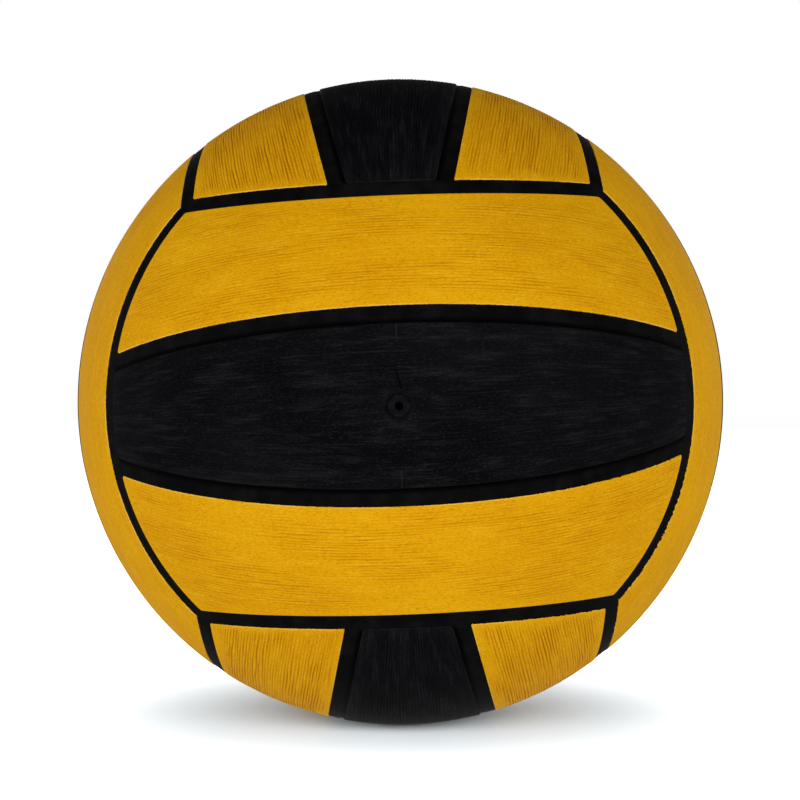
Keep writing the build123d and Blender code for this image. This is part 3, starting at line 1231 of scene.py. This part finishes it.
@dataclass
class Valve:
    """The valve: a housing bonded under the cover and the core that an inflating needle goes through."""

    sizes: BallSizes
    palette: Palette
    segments: int = 128
    edge: float = 0.16
    edge_steps: int = 5
    sharp_angle: float = 35.0
    rim_depth: float = 0.3
    rim_radius: float = 4.26
    ring_radius: float = 3.56
    ring_half: float = 0.22
    ring_depth: float = 0.15
    # Painted shade in the rim's ring: its strength, how much darker it is on the left, its fall across the ring
    # and its reach.
    ring_dirt: float = 0.85
    ring_dirt_side: float = 0.15
    ring_dirt_fall: float = 0.4
    ring_dirt_reach: float = 1.1
    head_bore: float = 3.16
    head_seat: float = 3.65
    flange_top: float = 3.7
    flange_radius: float = 12.86
    flange_thickness: float = 1.2
    flange_steps: int = 6
    neck_bore: float = 2.36
    neck_end: float = 8.15
    pocket_bore: float = 3.26
    pocket_end: float = 15.55
    pocket_radius: float = 4.86
    pocket_floor: float = 1.5
    vent_radius: float = 1.25
    core_depth: float = 0.55
    head_radius: float = 3.1
    head_length: float = 2.0
    core_radius: float = 2.3
    collar_radius: float = 3.2
    collar_start: float = 8.25
    collar_length: float = 2.0
    tail_length: float = 3.5
    needle_radius: float = 1.15
    needle_depth: float = 11.0
    mouth: float = 0.3

    def build(self) -> None:
        """Builds and dresses the housing and the core."""
        self._turned("valve_housing", "ball", self._housing_outline(), closed=True)
        self._turned("valve_core", "valve_plug", self._core_outline(), closed=False)

    def _housing_outline(self) -> list[tuple[float, float, float]]:
        """Gives the housing's section: radius, depth under the ball's surface and rounding of each corner."""
        pocket_under = self.pocket_end + self.pocket_floor
        upper = self._dome(self.flange_top, self.rim_radius)
        lower = self._dome(self.flange_top + self.flange_thickness, self.pocket_radius)
        return [
            (self.head_bore, self.rim_depth, self.edge),
            (self.ring_radius - self.ring_half, self.rim_depth, 0),
            (self.ring_radius, self.rim_depth + self.ring_depth, 0),
            (self.ring_radius + self.ring_half, self.rim_depth, 0),
            (self.rim_radius, self.rim_depth, self.edge),
            *upper,
            *reversed(lower),
            (self.pocket_radius, pocket_under, 0),
            (self.vent_radius, pocket_under, 0),
            (self.vent_radius, self.pocket_end, 0),
            (self.pocket_bore, self.pocket_end, 0),
            (self.pocket_bore, self.neck_end, 0),
            (self.neck_bore, self.neck_end, 0),
            (self.neck_bore, self.head_seat, 0),
            (self.head_bore, self.head_seat, 0),
        ]

    def _dome(self, depth: float, start: float) -> list[tuple[float, float, float]]:
        """Gives one face of the flange, which follows the ball's curve.

        Args:
            depth: Depth of the face on the valve's axis.
            start: Radius at which it starts, from which it runs to the flange's rim.

        Returns:
            Its points, as for the housing.
        """
        inner = self.sizes.radius - depth
        radii = np.linspace(start, self.flange_radius, self.flange_steps + 1).tolist()
        return [(r, self.sizes.radius - math.sqrt(inner**2 - r**2), 0) for r in radii]

    def _core_outline(self) -> list[tuple[float, float, float]]:
        """Gives the core's section from the needle hole's end round to the tail, as for the housing."""
        top, neck = self.core_depth, self.core_depth + self.head_length
        collar_under = self.collar_start + self.collar_length
        tail = collar_under + self.tail_length
        return [
            (0, top + self.needle_depth, 0),
            (self.needle_radius, top + self.needle_depth, 0),
            (self.needle_radius, top + self.mouth, self.mouth / 2),
            (self.needle_radius + self.mouth, top, self.mouth / 2),
            (self.head_radius, top, self.edge),
            (self.head_radius, neck, 0),
            (self.core_radius, neck, 0),
            (self.core_radius, self.collar_start, 0),
            (self.collar_radius, self.collar_start, 0),
            (self.collar_radius, collar_under, 0),
            (self.core_radius, collar_under, 0),
            (self.core_radius, tail, 0),
            (0, tail, 0),
        ]

    def _rim_shade(self, radius: float, depth: float, angle: float) -> float:
        """Gives the painted shade in the rim's moulded ring, which is darkest on the left.

        Args:
            radius: Distance from the valve's axis.
            depth: Depth under the ball's surface.
            angle: Angle about the axis, from the right.

        Returns:
            Its share, 0 away from the ring.
        """
        away = abs(radius - self.ring_radius) / self.ring_half
        if away > self.ring_dirt_reach or depth > self.rim_depth + self.ring_depth + EPSILON:
            return 0.0
        return (self.ring_dirt - self.ring_dirt_side * math.cos(angle)) * (1 - self.ring_dirt_fall * away)

    def _turned(
        self, node: str, body: str, outline: list[tuple[float, float, float]], closed: bool
    ) -> None:
        """Turns a section about the valve's axis.

        Args:
            node: Solid that the piece stands for.
            body: Body that it rides on.
            outline: Corners of the section.
            closed: True for a ring, False for a section that starts and ends on the axis.
        """
        section = rounded(outline, self.edge_steps, closed)
        work = bmesh.new()
        rings, shades = [], []
        for radius, depth in section:
            level = (depth - self.sizes.radius) * MM
            if radius < EPSILON:
                rings.append([work.verts.new((0, level, 0))])
                shades.append(0.0)
                continue
            angles = [math.tau * k / self.segments for k in range(self.segments)]
            places = [(radius * MM * math.cos(a), level, radius * MM * math.sin(a)) for a in angles]
            rings.append([work.verts.new(p) for p in places])
            shades += [self._rim_shade(radius, depth, a) for a in angles]
        pairs = list(zip(rings, rings[1:])) + ([(rings[-1], rings[0])] if closed else [])
        for first, second in pairs:
            for k in range(self.segments):
                corners = [first[k % len(first)], first[(k + 1) % len(first)]]
                corners += [second[(k + 1) % len(second)], second[k % len(second)]]
                work.faces.new(list(dict.fromkeys(corners)))
        bmesh.ops.recalc_face_normals(work, faces=work.faces)
        mesh = bpy.data.meshes.new(node)
        work.to_mesh(mesh)
        work.free()
        # The groove value of the valve is the painted shade of the rim's ring.
        mesh.attributes.new("groove", "FLOAT", "POINT").data.foreach_set("value", shades)
        mesh.materials.append(self.palette.of(Paint.VALVE))
        mesh.polygons.foreach_set("use_smooth", [True] * len(mesh.polygons))
        mesh.set_sharp_from_angle(angle=math.radians(self.sharp_angle))
        piece = bpy.data.objects.new(f"{node}_moulding", mesh)
        bpy.context.scene.collection.objects.link(piece)
        finish_piece(piece, body, node)


@dataclass
class InnerLayers:
    """The layers under the cover, which keep their solids' shapes and get their finishes."""

    palette: Palette

    def dress(self) -> None:
        """Gives each layer its material."""
        paints = {
            "carcass": Paint.CARCASS,
            "winding": Paint.WINDING,
            "bladder": Paint.BLADDER,
            "valve_patch": Paint.BLADDER,
        }
        for name, paint in paints.items():
            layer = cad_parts[name]
            layer.data.materials.clear()
            layer.data.materials.append(self.palette.of(paint))
            LOG.info("%s dressed in %s", name, paint.value.name)


@dataclass(frozen=True)
class Lamp:
    """A soft lamp: its place, its size and the point that it faces, in metres, and its power in watts."""

    name: str
    place: tuple[float, float, float]
    size: tuple[float, float]
    power: float
    aim: tuple[float, float, float] = (0.0, 0.0, 0.0)
    floor_only: bool = False


@dataclass
class Studio:
    """Camera, floor and soft light, set square to the ball as it lies: turned a little about its own axes."""

    sizes: BallSizes
    roll: float = math.radians(-2.195)
    pitch: float = math.radians(0.608)
    yaw: float = math.radians(-0.233)
    camera_distance: float = 5.1536
    lens: float = 73.43
    sensor: float = 36.0
    shift: tuple[float, float] = (-0.0005, 0.0022)
    floor_reach: float = 6.0
    floor_paint: tuple[Colour, Colour] = ((0.185, 0.195, 0.2), (0.195, 0.205, 0.21))
    glow_reach: Span = (0.3, 1.1)
    lamps: tuple[Lamp, ...] = (
        Lamp("front_lamp", (0.0, -0.9, 0.1), (0.5, 0.5), 2.25),
        Lamp("left_lamp", (-1.3, -1.0, 0.1), (0.9, 0.9), 6.8),
        Lamp("right_lamp", (1.3, -1.0, 0.1), (0.9, 0.9), 4.8),
        Lamp("wide_floor_lamp", (0.0, -2.0, 0.4), (5.0, 2.0), 1950.0, (0.0, -2.0, 0.0), True),
        Lamp("long_floor_lamp", (0.0, -0.3, 0.4), (0.1, 5.0), 132.0, (0.0, -0.3, 0.0), True),
    )
    horizon_light: float = 1.0
    low_light: float = 0.70
    high_light: float = 0.2
    horizon_rise: Span = (-0.14, -0.02)
    high_rise: Span = (0.28, 0.42)

    def build(self) -> None:
        """Builds the studio."""
        lie = Matrix.Rotation(self.roll, 3, "Y") @ Matrix.Rotation(self.pitch, 3, "X")
        self.turn = (lie @ Matrix.Rotation(self.yaw, 3, "Z")).transposed()
        self._camera()
        self._lights(self._floor())
        self._world()

    def _stand(self, thing: Object, place: Vector, aim: Vector) -> None:
        """Places a camera or lamp in the studio.

        Args:
            thing: The camera or lamp.
            place: Where it stands, from the ball's centre, in metres.
            aim: The point that it faces.
        """
        facing = (aim - place).to_track_quat("-Z", "Y").to_matrix()
        matrix = (self.turn @ facing).to_4x4()
        matrix.translation = self.turn @ place
        thing.matrix_world = matrix
        bpy.context.scene.collection.objects.link(thing)

    def _camera(self) -> None:
        """Sets the camera in front of the valve."""
        data = bpy.data.cameras.new("camera")
        data.lens, data.sensor_width = self.lens, self.sensor
        data.shift_x, data.shift_y = self.shift
        data.clip_start, data.clip_end = 0.01, 100.0
        camera = bpy.data.objects.new("camera", data)
        self._stand(camera, Vector((0, -self.camera_distance * self.sizes.radius * MM, 0)), Vector((0, 0, 0)))
        bpy.context.scene.camera = camera

    def _floor(self) -> Object:
        """Lays the pale floor under the ball, open to a camera below it."""
        half, level = self.floor_reach, -self.sizes.radius * MM
        square = ((-half, -half), (half, -half), (half, half), (-half, half))
        corners = [self.turn @ Vector((x, y, level)) for x, y in square]
        mesh = bpy.data.meshes.new("floor")
        mesh.from_pydata([tuple(c) for c in corners], [], [(0, 1, 2, 3)])
        material, graph = new_material("studio_floor")
        place = graph.object_place()
        paint = graph.mix(graph.noise(place, 6, 2), *self.floor_paint)
        matte = graph.node("ShaderNodeBsdfDiffuse", None, {"Color": paint})
        reach = graph.node("ShaderNodeVectorMath", {"operation": "LENGTH"}, {0: place}, "Value")
        shine = graph.mix(reach.rise(*self.glow_reach), (0.0, 0.0, 0.0), (1.0, 1.0, 1.0))
        glow = graph.node("ShaderNodeEmission", None, {"Color": shine})
        lit = graph.node("ShaderNodeAddShader", None, {0: matte, 1: glow})
        clear = graph.node("ShaderNodeBsdfTransparent")
        below = graph.node("ShaderNodeNewGeometry", output="Backfacing")
        shown = graph.node("ShaderNodeMixShader", None, {0: below, 1: lit, 2: clear})
        graph.node("ShaderNodeOutputMaterial", None, {"Surface": shown})
        mesh.materials.append(material)
        floor = bpy.data.objects.new("floor", mesh)
        floor.visible_diffuse = floor.visible_glossy = False
        bpy.context.scene.collection.objects.link(floor)
        return floor

    def _lights(self, floor: Object) -> None:
        """Hangs the soft lamps.

        Args:
            floor: The floor, which has lamps of its own.
        """
        for lamp in self.lamps:
            lit = self._lamp(lamp)
            if lamp.floor_only:
                group = bpy.data.collections.new("lit_by_" + lamp.name)
                group.objects.link(floor)
                lit.light_linking.receiver_collection = group

    def _lamp(self, lamp: Lamp) -> Object:
        """Hangs one lamp.

        Args:
            lamp: Its place, size and power.

        Returns:
            The lamp, which no camera sees.
        """
        data = bpy.data.lights.new(lamp.name, "AREA")
        data.shape, data.energy = "ELLIPSE", lamp.power
        data.size, data.size_y = lamp.size
        hung = bpy.data.objects.new(lamp.name, data)
        hung.visible_camera = False
        self._stand(hung, Vector(lamp.place), Vector(lamp.aim))
        return hung

    def _world(self) -> None:
        """Fills the studio with even light: white at the horizon, softer below and dim above."""
        world = bpy.data.worlds.new("studio")
        world.use_nodes = True
        graph = Graph(world.node_tree)
        direction = graph.node("ShaderNodeTexCoord", output="Generated")
        height = graph.node("ShaderNodeSeparateXYZ", None, {0: direction}, output="Z")
        above, high = height.rise(*self.horizon_rise), height.rise(*self.high_rise)
        strength = above * (1 - high) * self.horizon_light
        strength = strength + (1 - above) * self.low_light + high * self.high_light
        glow = graph.node("ShaderNodeBackground", None, {"Color": (1, 1, 1, 1), "Strength": strength})
        graph.node("ShaderNodeOutputWorld", None, {"Surface": glow})
        bpy.context.scene.world = world
        bpy.context.scene.view_settings.view_transform = "Standard"


def main() -> None:
    """Builds the ball and its studio."""
    logging.basicConfig(level=logging.INFO, format="%(message)s")
    sizes, palette = BallSizes.from_frame(), Palette()
    Cover(sizes, palette).build()
    Valve(sizes, palette).build()
    InnerLayers(palette).dress()
    Studio(sizes).build()


if __name__ == "__main__":
    main()
